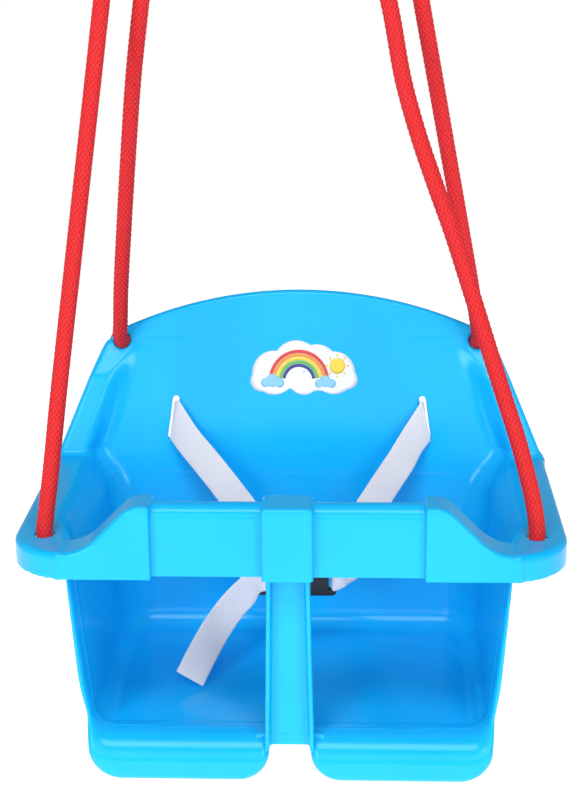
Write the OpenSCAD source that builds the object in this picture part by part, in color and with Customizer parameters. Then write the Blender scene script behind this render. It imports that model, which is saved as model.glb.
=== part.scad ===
// Toddler bucket swing: a moulded bucket seat with a front bar and a post, four
// braided ropes with knots, two steel D-rings and a webbing belt with a
// side-release buckle. Millimetres, +Z up, the seat faces -Y.
// The origin is on the rings' hinge line, straight above the seat's middle.

/* [Seat] */
// Width over the arm flanges
seat_w = 385; // [382:1:388]
// Height of the arm flange's top above the lowest point
flange_z = 175; // [174:0.5:177]
// Corner radius of the flange, seen from above
corner_r = 44; // [42:1:46]
// Depth of the skirt that hangs from the flange
skirt_h = 19; // [17:1:20]
// Wall thickness of the moulding
wall = 3; // [2.5:0.5:3]
// Height of the backrest's highest point
back_top = 299; // [297:1:301]
// Height of the seat floor's upper face
floor_z = 33; // [32:0.5:34]

/* [Front bar] */
// Height of the bar's proud ends and centre block
bar_top = 209; // [208:1:211]
// Height of the bar's recessed lengths
recess_top = 207; // [204:1:207]
// Width of the centre block
block_w = 35; // [33:1:37]
// Half-width of the recessed middle of the bar
recess_hw = 93; // [91:1:94]

/* [Hanging] */
// Diameter of the ropes
rope_d = 11.5; // [11:0.5:12]
// Height of the rings' hinge line above the seat's lowest point
hang_z = 603; // [600:1:606]
// Distance of the hinge line behind the bar's front
hang_y = 122; // [120:0.5:130]
// Distance between the two rope eyes on one ring
eye_gap = 26; // [25.5:0.5:27]
// Wire diameter of the D-rings
ring_wire = 6; // [5.5:0.5:6.5]
// Inner width of a D-ring
ring_inner = 48; // [47:1:52]
// Inner height of a D-ring
ring_rise = 38; // [36:1:42]

/* [Belt and buckle] */
// Width of the webbing
belt_w = 23; // [21:1:24]
// Thickness of the webbing
belt_t = 1.6; // [1.2:0.2:1.6]
// Height of the buckle, across the webbing
buckle_h = 31; // [30:0.5:31]
// Thickness of the buckle's socket
socket_t = 9; // [9:0.5:10]
// Thickness of the buckle's plug
plug_t = 6; // [5:0.5:6]

/* [Hidden] */
$fn = 48;

half_w = seat_w / 2;
skirt_z = flange_z - skirt_h;

// Bucket: half-width, back and corner radius at the floor and above the back
low_z = floor_z - wall;
high_z = 311;
low_hw = 141.5;
high_hw = 168.7;
low_back = 201;
high_back = 248;
low_r = 30;
high_r = 62;
bucket_front = 4;
back_lean = (high_back - low_back) / (high_z - low_z);
function back_face(z) = low_back + back_lean * (z - low_z);

// Plane of the raised back flange, its outline and its rim
arch_y = 215;
arch_lean = 16.7;
arch_rise = (back_top - flange_z) / cos(arch_lean);
arch_r = 341;
arch_base = half_w - 2;
shoulder_r = 34;
shoulder_x = 126;
arch_mid = [0, arch_rise - arch_r];
shoulder = [shoulder_x,
    arch_mid[1] + sqrt(pow(arch_r - shoulder_r, 2) - pow(shoulder_x, 2))];
rim_depth = 13;

// Front to back places of the bar's sections
end_y = [-2, 27];
recess_y = [5, 23];
block_y = [-4, 27];
slope_x = [107, 141];
bar_end = 156;

// Post: half-widths at the top and the bottom, and front to back places
post_hw = [14, 17.3];
post_y = [4, 17];

// Thigh lobes: place and radius of the lower corners
lobe_in = [36.5, 22];
lobe_out = [119, 24];
lobe_in_at = [lobe_in[0], lobe_in[1]];
lobe_out_at = [lobe_out[0], lobe_out[1]];
lobe_y = [4, 20];
leg_top = 153;
leg_inner = post_hw[0] - 2;

// Rope holes
hole_d = 13.5;
front_hole = [171, 36];
back_hole = [141, 89];

// Belt slots in the backrest
slot = [100, 200];
slot_size = [5, 34];
slot_lean = 8;

// Rings and rope eyes
ring_x = [-105, 63];
eye_r = ring_wire / 2 + 0.4 + rope_d / 2;
whip_start = 12;
whip_len = 38;
whip_r = 11.5;
stop_r = 12.4;
stop_len = 24;
knot_gap = 0.1;

// Rope routes, from the hole upwards
front_left_route = [[-171, 36, 178], [-170, 38, 187], [-167, 43, 210],
    [-160, 55, 270], [-150, 72, 350], [-140, 89, 430], [-130, 106, 510]];
front_right_route = [[171, 36, 178], [170, 37.5, 188], [167.5, 41, 202],
    [163, 45.5, 220], [157, 50, 241], [148, 55, 268], [139, 61, 295],
    [124, 71, 341], [111, 78.5, 380], [99, 86, 412],
    [88, 92.5, 443], [78, 99.5, 477], [68, 110, 528]];
back_left_route = [[-141, 231, 268], [-140, 227, 275], [-137, 216, 304],
    [-130, 198, 360], [-122, 179, 420], [-113, 157, 480], [-104, 140, 530]];
back_right_route = [[141, 231, 268], [140, 227, 275], [135, 216, 304],
    [124, 198, 360], [112, 179, 420], [100, 157, 480], [90, 140, 530]];

// Buckle's middle, the length of its socket and plug, and the plug's travel
buckle_at = [1, 145, 99];
socket_l = 34;
plug_l = 31;
mouth_x = -2;
cavity = [27, 4.8, 25.4];
run_gap = 0.3;
prong = [24, 3.6, 2.2];
prong_z = 9.2;
tongue = [22, 3.6, 7];

// Belt: centres and half-width vectors, for a half-width of 1
back_run_x = 96;
left_end_y = buckle_at[1] + plug_t / 2 + 0.4 + belt_t / 2;
right_end_y = buckle_at[1] + socket_t / 2 + 0.3 + belt_t / 2;
tail_start_y = buckle_at[1] - plug_t / 2 - 0.2 - belt_t / 2;
left_centres = [[-99, 223.6, 199], [-88, 214, 186], [-73.5, 202, 172.5],
    [-60, 190, 160], [-48, 178.5, 148.5], [-46.5, 167, 130], [-46, 158, 114],
    [-42, 151.5, 103.5], [-35, left_end_y, 99], [-20, left_end_y, 99]];
left_halves = [[0.3, 0.15, 1.4], [0.58, 0.13, 0.86], [0.72, 0.13, 0.68],
    [0.74, 0.13, 0.66], [0.76, 0.13, 0.64], [0.88, 0.08, 0.47], [0.75, 0.08, 0.66],
    [0.35, 0.05, 0.93], [0, 0, 1], [0, 0, 1]];
right_centres = [[101, 223.6, 199], [90.5, 214, 186], [81, 202, 173],
    [70.5, 190, 160.5], [60.5, 178.5, 148.5], [55, 168, 131], [51.5, 159, 116.5],
    [48, 153.5, 108], [44, right_end_y, 103.5], [33, right_end_y, 99]];
right_halves = [[-0.3, 0.15, 1.4], [-0.6, 0.13, 0.84], [-0.8, 0.13, 0.58],
    [-0.83, 0.13, 0.54], [-0.83, 0.13, 0.54], [-0.85, 0.1, 0.5], [-0.72, 0.08, 0.69],
    [-0.5, 0.04, 0.86], [-0.25, 0, 0.97], [0, 0, 1]];
tail_centres = [[-18, tail_start_y, 99], [-28, tail_start_y, 98], [-36, 136, 91],
    [-47, 127, 82], [-57, 117, 71], [-68, 101, 56], [-77.5, 84, 41]];
tail_halves = [[0, 0, 1], [-0.1, 0, 0.99], [-0.4, 0, 0.92], [-0.59, 0, 0.81],
    [-0.72, 0, 0.69], [-0.84, 0, 0.54], [-0.85, 0, 0.52]];

// Sticker on the backrest
sticker_at = [4, 239];
sticker_size = [86, 44];
sticker_t = 0.4;

function unit(v) = v / norm(v);
function tangent(path, i) =
    unit(path[min(i + 1, len(path) - 1)] - path[max(i - 1, 0)]);
function scaled(list, k) = [for (v = list) k * v];
function arc(c, r, from, to, steps) =
    [for (i = [0:steps]) let (a = from + (to - from) * i / steps)
        c + r * [cos(a), sin(a)]];
// Angle at which the line from p touches the circle at c, on the given side
function touch(c, r, p, side) =
    atan2(p[1] - c[1], p[0] - c[0]) + side * acos(r / norm(p - c));
function flipped(outline) =
    [for (i = [len(outline) - 1:-1:0]) [-outline[i][0], outline[i][1]]];

// Point at x and s up the arch plane, d behind it
function arch_point(x, s, d) =
    [x, arch_y + s * sin(arch_lean) + d * cos(arch_lean),
        flange_z + s * cos(arch_lean) - d * sin(arch_lean)];
arch_in = [0, cos(arch_lean), -sin(arch_lean)];

// Rope eyes: side is 0 on the left and 1 on the right
function eye_at(side, front) =
    [ring_x[side] + (front ? -1 : 1) * eye_gap / 2, hang_y, hang_z];
function whip_dir(side, front, route) =
    unit(route[len(route) - 1] - eye_at(side, front));
function rope_end(side, front, route) =
    eye_at(side, front) + (whip_start + whip_len) * whip_dir(side, front, route);
function front_rope(side, route) =
    concat([[route[0][0], route[0][1], flange_z - wall - knot_gap]], route,
        [rope_end(side, true, route) + 8 * whip_dir(side, true, route)],
        [rope_end(side, true, route)]);
function back_rope(side, route) =
    concat([for (d = [wall + knot_gap, -3])
        arch_point((side == 0 ? -1 : 1) * back_hole[0], back_hole[1], d)], route,
        [rope_end(side, false, route) + 8 * whip_dir(side, false, route)],
        [rope_end(side, false, route)]);

module seat_place() {
    translate([0, -hang_y, -hang_z]) children();
}

module both_sides() {
    children();
    mirror([1, 0, 0]) children();
}

// Turns +Z to direction d at point p
module along(p, d) {
    translate(p) rotate([0, acos(d[2]), atan2(d[1], d[0])]) children();
}

// Outlines in X and Z, pushed from y[0] to y[1]
module through_y(y) {
    translate([0, y[1], 0]) rotate([90, 0, 0]) linear_extrude(y[1] - y[0]) children();
}

// Outlines in the arch plane, pushed back from depth d[0] to d[1]
module through_arch(d) {
    translate([0, arch_y, flange_z]) rotate([-arch_lean, 0, 0])
        through_y(d) children();
}

// Closed skin over rings of equal point counts
module loft(rings) {
    last = len(rings) - 1;
    n = len(rings[0]);
    sides = [for (i = [0:last - 1]) for (k = [0:n - 1])
        let (a = i * n + k, b = i * n + (k + 1) % n) each
            [[a, b + n, b], [a, a + n, b + n]]];
    polyhedron([for (r = rings) each r], concat([[for (k = [0:n - 1]) k]], sides,
        [[for (k = [n - 1:-1:0]) last * n + k]]));
}

module tube(path, r, n = 10) {
    loft([for (i = [0:len(path) - 1])
        let (d = tangent(path, i), a = unit(cross(d, [1, 0, 0])), b = cross(d, a))
            [for (k = [0:n - 1])
                path[i] + r * (cos(360 * k / n) * a + sin(360 * k / n) * b)]]);
}

module ribbon(path, halves, t) {
    loft([for (i = [0:len(path) - 1])
        let (n = unit(cross(tangent(path, i), halves[i])) * t / 2, h = halves[i])
            [path[i] - h - n, path[i] + h - n, path[i] + h + n, path[i] - h + n]]);
}

// ---- Seat shell ----

function bucket_ring(z, hw, back, r, front) =
    [for (p = concat([[hw, front]], arc([hw - r, back - r], r, 0, 90, 12),
        arc([r - hw, back - r], r, 90, 180, 12), [[-hw, front]]))
            [p[0], p[1], z]];

module bucket_outside() {
    loft([bucket_ring(low_z, low_hw, low_back, low_r, bucket_front),
        bucket_ring(high_z, high_hw, high_back, high_r, bucket_front)]);
}

module bucket_inside() {
    loft([bucket_ring(floor_z, low_hw - wall, low_back - wall, low_r - wall, -20),
        bucket_ring(high_z + 1, high_hw - wall, high_back - wall, high_r - wall, -20)]);
}

function arch_half(inset) =
    let (top = atan2(shoulder[1] - arch_mid[1], shoulder[0]),
        side = touch(shoulder, shoulder_r, [arch_base, 0], 1))
    concat([[arch_base - inset, -1]], arc(shoulder, shoulder_r - inset, side, top, 8),
        arc(arch_mid, arch_r - inset, top, 90, 12));

module arch_outline(inset) {
    polygon(concat(arch_half(inset), flipped(arch_half(inset))));
}

module flange_outline(inset) {
    r = corner_r - inset;
    cx = half_w - corner_r;
    for (s = [-1, 1]) translate([s * cx, corner_r]) circle(r);
    translate([-cx, inset]) square([2 * cx, arch_y + 2 - inset]);
    translate([inset - half_w, corner_r])
        square([2 * (half_w - inset), arch_y + 2 - corner_r]);
}

module leg_outline(inset) {
    top = skirt_z + 1;
    outer = touch(lobe_out_at, lobe_out[1], [leg_top, top], -1);
    inner = touch(lobe_in_at, lobe_in[1], [leg_inner, top], 1);
    polygon(concat([[leg_inner + inset, top], [leg_top - inset, top]],
        arc(lobe_out_at, lobe_out[1] - inset, outer, -90, 8),
        arc(lobe_in_at, lobe_in[1] - inset, 270, inner, 8)));
}

module bar_solid(inset, bottom) {
    i = inset;
    both_sides() through_y([end_y[0] + i, end_y[1] - i])
        polygon([[recess_hw + i, bottom], [recess_hw + i, bar_top - i],
            [slope_x[0] - 0.4 * i, bar_top - i], [slope_x[1] - 0.4 * i, flange_z - i],
            [bar_end - i, flange_z - i], [bar_end - i, bottom]]);
    through_y([recess_y[0] + i, recess_y[1] - i])
        translate([-recess_hw - 2 * i, bottom])
            square([2 * recess_hw + 4 * i, recess_top - i - bottom]);
    through_y([block_y[0] + i, block_y[1] - i])
        translate([i - block_w / 2, bottom])
            square([block_w - 2 * i, bar_top - i - bottom]);
}

module front_bar() {
    difference() {
        bar_solid(0, skirt_z);
        bar_solid(wall, skirt_z - 1);
    }
}

module post() {
    top = recess_top - wall;
    foot = low_z;
    through_y([post_y[1] - wall, post_y[1]])
        polygon([[-post_hw[0], top], [post_hw[0], top],
            [post_hw[1], foot], [-post_hw[1], foot]]);
    both_sides() through_y(post_y)
        polygon([[post_hw[0] - wall, top], [post_hw[0], top],
            [post_hw[1], foot], [post_hw[1] - wall, foot]]);
}

// The floor's front edge, which rolls down as a waterfall over each thigh lobe
module lobe_front() {
    f = floor_z;
    intersection() {
        translate([10, 0, 0]) rotate([90, 0, 90]) linear_extrude(150)
            polygon([[4, 0], [4, 14], [6, 21], [11, 28], [19, f - 1], [28, f],
                [28, f - wall], [20, f - 4.5], [13, 25], [9, 19], [7, 13], [7, 0]]);
        through_y([0, 40]) leg_outline(0);
    }
}

module lobes() {
    both_sides() {
        through_y(lobe_y) difference() {
            leg_outline(0);
            leg_outline(wall);
        }
        lobe_front();
    }
}

module arm_flange() {
    difference() {
        union() {
            translate([0, 0, flange_z - wall]) linear_extrude(wall) flange_outline(0);
            translate([0, 0, skirt_z]) linear_extrude(skirt_h) difference() {
                flange_outline(0);
                flange_outline(wall);
            }
        }
        bucket_inside();
        translate([-bar_end, -1, skirt_z - 1]) cube([2 * bar_end, wall + 3, 200]);
    }
}

module bucket_walls() {
    difference() {
        bucket_outside();
        bucket_inside();
    }
}

module lower_bucket() {
    intersection() {
        bucket_walls();
        translate([-half_w, 0, 0]) cube([seat_w, 300, flange_z]);
    }
}

module back_panel() {
    intersection() {
        bucket_walls();
        through_arch([0, 60]) arch_outline(0);
    }
    difference() {
        union() {
            through_arch([0, wall]) arch_outline(0);
            through_arch([0, rim_depth]) difference() {
                arch_outline(0);
                arch_outline(wall);
            }
        }
        bucket_inside();
    }
}

module rope_holes() {
    both_sides() {
        translate([front_hole[0], front_hole[1], flange_z - 2 * wall])
            cylinder(d = hole_d, h = 3 * wall);
        along(arch_point(back_hole[0], back_hole[1], -wall), arch_in)
            cylinder(d = hole_d, h = 3 * wall);
    }
}

// Rounds cut from the back rim, in which the back ropes' stopper knots sit
module knot_seats() {
    both_sides() along(arch_point(back_hole[0], back_hole[1], wall), arch_in)
        cylinder(r = stop_r + 0.5, h = 30);
}

module belt_slots() {
    both_sides() translate([slot[0], back_face(slot[1]) - 10, slot[1]])
        rotate([0, -slot_lean, 0])
            translate([-slot_size[0] / 2, 0, -slot_size[1] / 2])
                cube([slot_size[0], 20, slot_size[1]]);
}

module seat_shell() {
    color("deepskyblue") seat_place() difference() {
        union() {
            lower_bucket();
            back_panel();
            arm_flange();
            front_bar();
            post();
            lobes();
        }
        rope_holes();
        knot_seats();
        belt_slots();
    }
}

// ---- Rings, ropes and knots ----

module d_ring(x) {
    r = ring_wire / 2;
    w = ring_inner / 2 + r;
    straight = ring_rise + r - w;
    color("silver") translate([x, 0, 0]) {
        rotate([0, 90, 0]) cylinder(r = r, h = 2 * w, center = true);
        for (s = [-1, 1]) {
            translate([s * w, 0, 0]) sphere(r);
            translate([s * w, 0, 0]) cylinder(r = r, h = straight);
        }
        translate([0, 0, straight]) rotate([90, 0, 0])
            rotate_extrude(angle = 180) translate([w, 0]) circle(r);
    }
}

module left_ring() {
    d_ring(ring_x[0]);
}

module right_ring() {
    d_ring(ring_x[1]);
}

module rope(path) {
    color("red") seat_place() tube(path, rope_d / 2);
}

// Loop of rope round the ring's bar, closed by a wrapped knot
module eye(side, front, route) {
    p = eye_at(side, front);
    color("crimson") seat_place() {
        translate(p) rotate([0, 90, 0])
            rotate_extrude() translate([eye_r, 0]) circle(d = rope_d);
        along(p, whip_dir(side, front, route)) translate([0, 0, whip_start])
            cylinder(r = whip_r, h = whip_len);
    }
}

// Overhand stopper knot with its short tail, seen along the rope
module stopper() {
    rotate_extrude() polygon(concat([[0, 0]],
        [for (a = [-60:15:75])
            [stop_r - 4 + 4 * cos(a), stop_len / 2 * (1 + sin(a))]],
        [[0, stop_len]]));
    translate([2, 0, stop_len - 1]) cylinder(d = rope_d, h = 4);
}

module front_stopper(x) {
    color("crimson") seat_place()
        translate([x, front_hole[1], flange_z - wall - knot_gap])
            rotate([180, 0, 0]) stopper();
}

module back_stopper(x) {
    color("crimson") seat_place()
        along(arch_point(x, back_hole[1], wall + knot_gap), arch_in) stopper();
}

module rope_front_left() {
    rope(front_rope(0, front_left_route));
}

module rope_back_left() {
    rope(back_rope(0, back_left_route));
}

module rope_front_right() {
    rope(front_rope(1, front_right_route));
}

module rope_back_right() {
    rope(back_rope(1, back_right_route));
}

module eye_front_left() {
    eye(0, true, front_left_route);
}

module eye_back_left() {
    eye(0, false, back_left_route);
}

module eye_front_right() {
    eye(1, true, front_right_route);
}

module eye_back_right() {
    eye(1, false, back_right_route);
}

module knot_front_left() {
    front_stopper(-front_hole[0]);
}

module knot_back_left() {
    back_stopper(-back_hole[0]);
}

module knot_front_right() {
    front_stopper(front_hole[0]);
}

module knot_back_right() {
    back_stopper(back_hole[0]);
}

// ---- Belt ----

module webbing(centres, halves) {
    color("white") seat_place()
        ribbon(centres, scaled(halves, belt_w / 2), belt_t);
}

// Behind the backrest, and forward through both slots
module belt_back_run() {
    y = back_face(slot[1]) + belt_t / 2 + 0.1;
    left = [[-99, 223.6, 199], [-100, 226.5, 200], [-99.8, y - 1.2, slot[1]],
        [-98, y, slot[1]]];
    right = [for (i = [len(left) - 1:-1:0]) [-left[i][0], left[i][1], left[i][2]]];
    lean = [0, back_lean, 1];
    webbing(concat(left, [[0, y, slot[1]]], right),
        [[0.3, 0.15, 1.4], [0.17, 0.16, 1.2], [0.1, 0.17, 1.05], lean, lean, lean,
            [-0.1, 0.17, 1.05], [-0.17, 0.16, 1.2], [-0.3, 0.15, 1.4]]);
}

module belt_left() {
    webbing(left_centres, left_halves);
}

module belt_right() {
    webbing(right_centres, right_halves);
}

module belt_tail() {
    webbing(tail_centres, tail_halves);
}

module belt_stitching() {
    color("gainsboro") seat_place()
        for (x = [36, 38.5, 41])
            translate([x, right_end_y - belt_t / 2 - 0.5, buckle_at[2] - 9])
                cube([0.8, 0.5, 18]);
}

// ---- Buckle ----

module buckle_place() {
    color("#202226") seat_place() translate(buckle_at) children();
}

module block(x, y, z) {
    translate([x[0], -y, -z]) cube([x[1] - x[0], 2 * y, 2 * z]);
}

module buckle_socket() {
    right = mouth_x + socket_l;
    buckle_place() difference() {
        intersection() {
            block([mouth_x, right], socket_t / 2, buckle_h / 2);
            translate([right - 40, 0, 0]) rotate([90, 0, 0])
                cylinder(r = 40, h = 20, center = true);
        }
        block([mouth_x - 1, mouth_x + cavity[0]], cavity[1] / 2, cavity[2] / 2);
        block([8, 20], cavity[1] / 2, buckle_h);
        block([mouth_x + cavity[0] - 1, right - 3.5], socket_t, 11);
    }
}

module buckle_plug() {
    shoulder_x = mouth_x - run_gap;
    left = shoulder_x - plug_l;
    buckle_place() {
        difference() {
            block([left, shoulder_x], plug_t / 2, buckle_h / 2);
            for (x = [left + 3.5, left + 13])
                block([x, x + 6], plug_t, 12);
        }
        block([shoulder_x - 1, shoulder_x + tongue[0]], tongue[1] / 2, tongue[2] / 2);
    }
}

// Springy arm with the pad that the finger presses
module squeeze_prong() {
    root = mouth_x - run_gap + 0.4;
    buckle_place() {
        translate([root, -prong[1] / 2, prong_z]) cube(prong);
        translate([root + 9, -prong[1] / 2, prong_z])
            cube([prong[0] - 12, prong[1], prong[2] + 0.8]);
    }
}

module prong_upper() {
    squeeze_prong();
}

module prong_lower() {
    seat_place() translate(buckle_at) mirror([0, 0, 1]) translate(-buckle_at)
        translate([0, hang_y, hang_z]) squeeze_prong();
}

// ---- Sticker ----

module sticker() {
    z = sticker_at[1];
    color("gold") seat_place()
        translate([sticker_at[0], back_face(z) - wall - sticker_t, z])
            rotate([-atan(back_lean), 0, 0]) rotate([90, 0, 0])
                linear_extrude(sticker_t) intersection() {
                    square(sticker_size, center = true);
                    circle(d = 92, $fn = 96);
                }
}

seat_shell();
left_ring();
right_ring();
rope_front_left();
rope_back_left();
rope_front_right();
rope_back_right();
eye_front_left();
eye_back_left();
eye_front_right();
eye_back_right();
knot_front_left();
knot_back_left();
knot_front_right();
knot_back_right();
belt_back_run();
belt_left();
belt_right();
belt_tail();
buckle_socket();
buckle_plug();
prong_upper();
prong_lower();
belt_stitching();
sticker();
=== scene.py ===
"""Toddler bucket swing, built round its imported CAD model.

Shapes are worked out in the seat's own millimetres, with z = 0 at the lowest point of
the seat and y = 0 near the bar's front, and moved into the frame's metres at the end.
"""
import math

import bpy
import numpy as np
from mathutils import Matrix, Vector


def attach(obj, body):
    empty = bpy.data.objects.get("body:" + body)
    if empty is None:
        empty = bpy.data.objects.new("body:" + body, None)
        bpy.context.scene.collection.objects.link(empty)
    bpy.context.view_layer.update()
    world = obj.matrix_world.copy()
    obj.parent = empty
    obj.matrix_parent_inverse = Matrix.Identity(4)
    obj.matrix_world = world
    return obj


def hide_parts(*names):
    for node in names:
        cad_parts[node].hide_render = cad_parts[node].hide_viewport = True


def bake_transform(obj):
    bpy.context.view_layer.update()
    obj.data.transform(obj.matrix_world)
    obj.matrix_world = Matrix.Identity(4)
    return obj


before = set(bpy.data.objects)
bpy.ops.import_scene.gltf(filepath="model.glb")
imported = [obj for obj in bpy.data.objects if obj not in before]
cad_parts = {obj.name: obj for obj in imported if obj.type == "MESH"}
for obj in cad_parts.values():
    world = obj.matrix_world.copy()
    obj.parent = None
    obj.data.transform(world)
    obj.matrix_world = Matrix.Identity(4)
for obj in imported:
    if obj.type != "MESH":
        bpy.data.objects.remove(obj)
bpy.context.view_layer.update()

# The hinge line's place in seat millimetres
HANG_Y, HANG_Z = 122.0, 603.0


def to_frame(p):
    """Seat millimetres to frame metres."""
    return (np.asarray(p, float) - (0, HANG_Y, HANG_Z)) / 1000


def put_in(obj):
    """Links a new object into the scene."""
    bpy.context.scene.collection.objects.link(obj)


# ---- camera and studio

# Metres, degrees and millimetres
CAMERA_AT = (0.04954, -1.19909, 0.01081)
PITCH, YAW, ROLL = (math.radians(a) for a in (-17, 2.463, 0.543))
LENS = 77.4


def camera():
    """Camera 1.2 m in front of the rings and as high as they are, looking down at the seat."""
    data = bpy.data.cameras.new("camera")
    data.sensor_width, data.sensor_fit = 36, "AUTO"
    data.lens = LENS
    data.clip_start, data.clip_end = 0.01, 60
    cam = bpy.data.objects.new("camera", data)
    turn = Matrix.Rotation(YAW, 3, "Z") @ Matrix.Rotation(PITCH, 3, "X") @ Matrix.Rotation(ROLL, 3, "Y")
    right, ahead, up = (turn @ Vector(v) for v in ((1, 0, 0), (0, 1, 0), (0, 0, 1)))
    axes = Matrix((right, up, -ahead)).transposed()
    cam.matrix_world = Matrix.Translation(CAMERA_AT) @ axes.to_4x4()
    put_in(cam)
    bpy.context.scene.camera = cam


def softbox(name, at, aim, size, watts):
    """Rectangular white area light."""
    data = bpy.data.lights.new(name, "AREA")
    data.shape, data.size, data.size_y = "RECTANGLE", size[0], size[1]
    data.energy = watts
    light = bpy.data.objects.new(name, data)
    light.location = at
    light.rotation_euler = (Vector(aim) - Vector(at)).to_track_quat("-Z", "Y").to_euler()
    put_in(light)


def studio():
    """White backdrop, a cool sky that fades with height, and five soft lights."""
    scene = bpy.context.scene
    scene.view_settings.view_transform = "Standard"
    world = bpy.data.worlds.new("studio")
    world.use_nodes = True
    scene.world = world
    tree = world.node_tree
    lit = tree.nodes["Background"]
    lit.inputs["Color"].default_value = (0.93, 0.96, 1, 1)
    height = tree.nodes.new("ShaderNodeSeparateXYZ")
    tree.links.new(tree.nodes.new("ShaderNodeTexCoord").outputs["Generated"], height.inputs[0])
    fall = tree.nodes.new("ShaderNodeMapRange")
    for key, value in ((1, 0.05), (2, 0.9), (3, 0.46), (4, 0.1)):
        fall.inputs[key].default_value = value
    tree.links.new(height.outputs[2], fall.inputs[0])
    tree.links.new(fall.outputs[0], lit.inputs["Strength"])
    seen = tree.nodes.new("ShaderNodeBackground")
    seen.inputs["Color"].default_value = (1, 1, 1, 1)
    rays = tree.nodes.new("ShaderNodeLightPath")
    mix = tree.nodes.new("ShaderNodeMixShader")
    tree.links.new(rays.outputs["Is Camera Ray"], mix.inputs["Fac"])
    tree.links.new(lit.outputs[0], mix.inputs[1])
    tree.links.new(seen.outputs[0], mix.inputs[2])
    tree.links.new(mix.outputs[0], tree.nodes["World Output"].inputs["Surface"])
    middle = (0, 0.05, -0.42)
    softbox("key_left", (-1.7, -3.2, 0.5), middle, (1.0, 1.8), 40)
    softbox("key_right", (1.9, -3.2, 0.5), middle, (1.0, 1.8), 35)
    softbox("front_fill", (0.0, -4.4, 0.6), middle, (2.6, 2.0), 20)
    softbox("front_top", (0.0, -1.8, 2.2), middle, (2.4, 1.2), 50)
    softbox("top_soft", (0.1, 0.1, 1.5), middle, (1.2, 1.2), 1)


FLOOR_R, FLOOR_Y, FLOOR_DROP = 3.2, 0.6, -1.15


def floor():
    """Pale round floor, in metres."""
    sides = 96
    turns = [2 * math.pi * k / sides for k in range(sides)]
    ring = [(FLOOR_R * math.cos(a), FLOOR_R * math.sin(a) + FLOOR_Y, FLOOR_DROP) for a in turns]
    mesh = bpy.data.meshes.new("studio_floor")
    mesh.from_pydata(ring, [], [list(range(sides))])
    obj = bpy.data.objects.new("studio_floor", mesh)
    put_in(obj)
    mat = bpy.data.materials.new("studio_floor")
    mat.use_nodes = True
    shader = mat.node_tree.nodes["Principled BSDF"]
    shader.inputs["Base Color"].default_value = (0.93, 0.93, 0.94, 1)
    shader.inputs["Roughness"].default_value = 0.9
    shader.inputs["Emission Color"].default_value = (1, 1, 1, 1)
    shader.inputs["Emission Strength"].default_value = 0.85
    mesh.materials.append(mat)


camera()
studio()
floor()

# ---- materials


class Nodes:
    """Small helper that adds and links shader nodes."""

    def __init__(self, name, base, roughness):
        self.mat = bpy.data.materials.new(name)
        self.mat.use_nodes = True
        self.tree = self.mat.node_tree
        self.shader = self.tree.nodes["Principled BSDF"]
        self.set(self.shader, Roughness=roughness)
        self.shader.inputs["Base Color"].default_value = (*base, 1)

    def set(self, node, **values):
        for key, value in values.items():
            node.inputs[key.replace("_", " ")].default_value = value
        return node

    def add(self, kind, inputs=None, **attributes):
        node = self.tree.nodes.new("ShaderNode" + kind)
        for key, value in attributes.items():
            setattr(node, key, value)
        for key, value in (inputs or {}).items():
            if isinstance(value, bpy.types.NodeSocket):
                self.tree.links.new(value, node.inputs[key])
            else:
                node.inputs[key].default_value = value
        return node

    def link(self, out, key):
        self.tree.links.new(out, self.shader.inputs[key])

    def coords(self, kind="Object"):
        return self.add("TexCoord").outputs[kind]

    def noise(self, where, scale, detail=3.0, rough=0.5):
        return self.add("TexNoise", {"Vector": where, "Scale": scale, "Detail": detail,
                                     "Roughness": rough}).outputs["Fac"]

    def maths(self, operation, a, b=0.0):
        return self.add("Math", {0: a, 1: b}, operation=operation).outputs[0]

    def blend(self, factor, a, b):
        node = self.add("Mix", {}, data_type="RGBA")
        for key, value in ((0, factor), (6, a), (7, b)):
            if isinstance(value, bpy.types.NodeSocket):
                self.tree.links.new(value, node.inputs[key])
            else:
                node.inputs[key].default_value = value if key == 0 else (*value, 1)
        return node.outputs[2]

    def span(self, value, low, high, to_low, to_high):
        return self.add("MapRange", {0: value, 1: low, 2: high, 3: to_low, 4: to_high}).outputs[0]

    def bump(self, height, strength, distance):
        node = self.add("Bump", {"Height": height, "Strength": strength, "Distance": distance})
        self.link(node.outputs["Normal"], "Normal")


def shell_plastic():
    """Glossy blue moulding with faint rubs and clouding."""
    n = Nodes("shell_plastic", (0.008, 0.4, 0.94), 0.2)
    where = n.coords()
    cloud = n.noise(where, 9, 4)
    tone = n.span(cloud, 0.3, 0.7, 0, 1)
    n.link(n.blend(tone, (0.004, 0.45, 0.93), (0.008, 0.49, 0.97)), "Base Color")
    streak = n.add("Mapping", {"Vector": where, "Scale": (40, 40, 240)}).outputs[0]
    rub = n.noise(streak, 4, 5, 0.65)
    fine = n.noise(where, 120, 3)
    wear = n.maths("ADD", n.maths("MULTIPLY", rub, 0.6), n.maths("MULTIPLY", fine, 0.4))
    n.link(n.span(wear, 0.25, 0.75, 0.13, 0.27), "Roughness")
    grain = n.maths("MULTIPLY", n.noise(where, 700, 2), 0.15)
    n.bump(n.maths("ADD", n.noise(where, 55, 2), grain), 0.05, 0.0006)
    n.set(n.shader, IOR=1.42, Specular_Tint=(0.62, 0.9, 1, 1))
    return n.mat


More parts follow.
